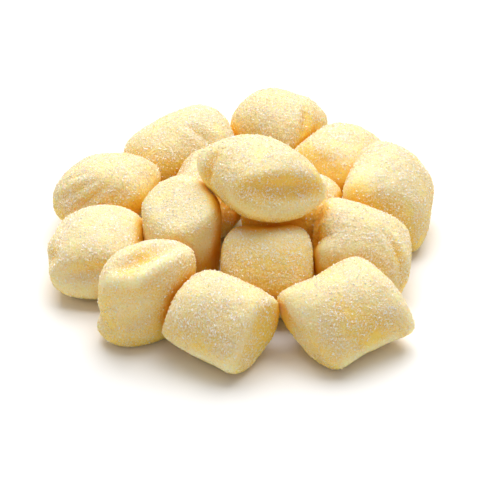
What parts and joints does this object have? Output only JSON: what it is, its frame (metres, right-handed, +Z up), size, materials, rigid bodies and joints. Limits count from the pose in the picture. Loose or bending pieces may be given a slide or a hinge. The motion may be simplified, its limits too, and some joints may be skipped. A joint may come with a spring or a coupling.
{
  "type": "potato gnocchi",
  "caption": "A loose heap of plump pillow-shaped potato dough pieces with pinched, grooved ends, dusted with coarse flour.",
  "frame": {"origin": "middle of the heap's footprint, on the surface it lies on", "axes": "+Z up, +X across the heap to the right, +Y from its front to its back"},
  "size_m": [0.1018, 0.1184, 0.0395],
  "materials": {
    "dough": "soft matt potato dough with coarse white flour on it"
  },
  "bodies": {
    "root": {"gnocco_front_middle": "dough", "gnocco_front_right": "dough", "gnocco_front_left": "dough", "gnocco_left_front": "dough", "gnocco_middle": "dough", "gnocco_standing": "dough", "gnocco_right_front": "dough", "gnocco_top": "dough", "gnocco_left": "dough", "gnocco_right": "dough", "gnocco_under_left": "dough", "gnocco_under_right": "dough", "gnocco_back_right": "dough", "gnocco_back": "dough", "gnocco_back_left": "dough"}
  },
  "joints": []
}
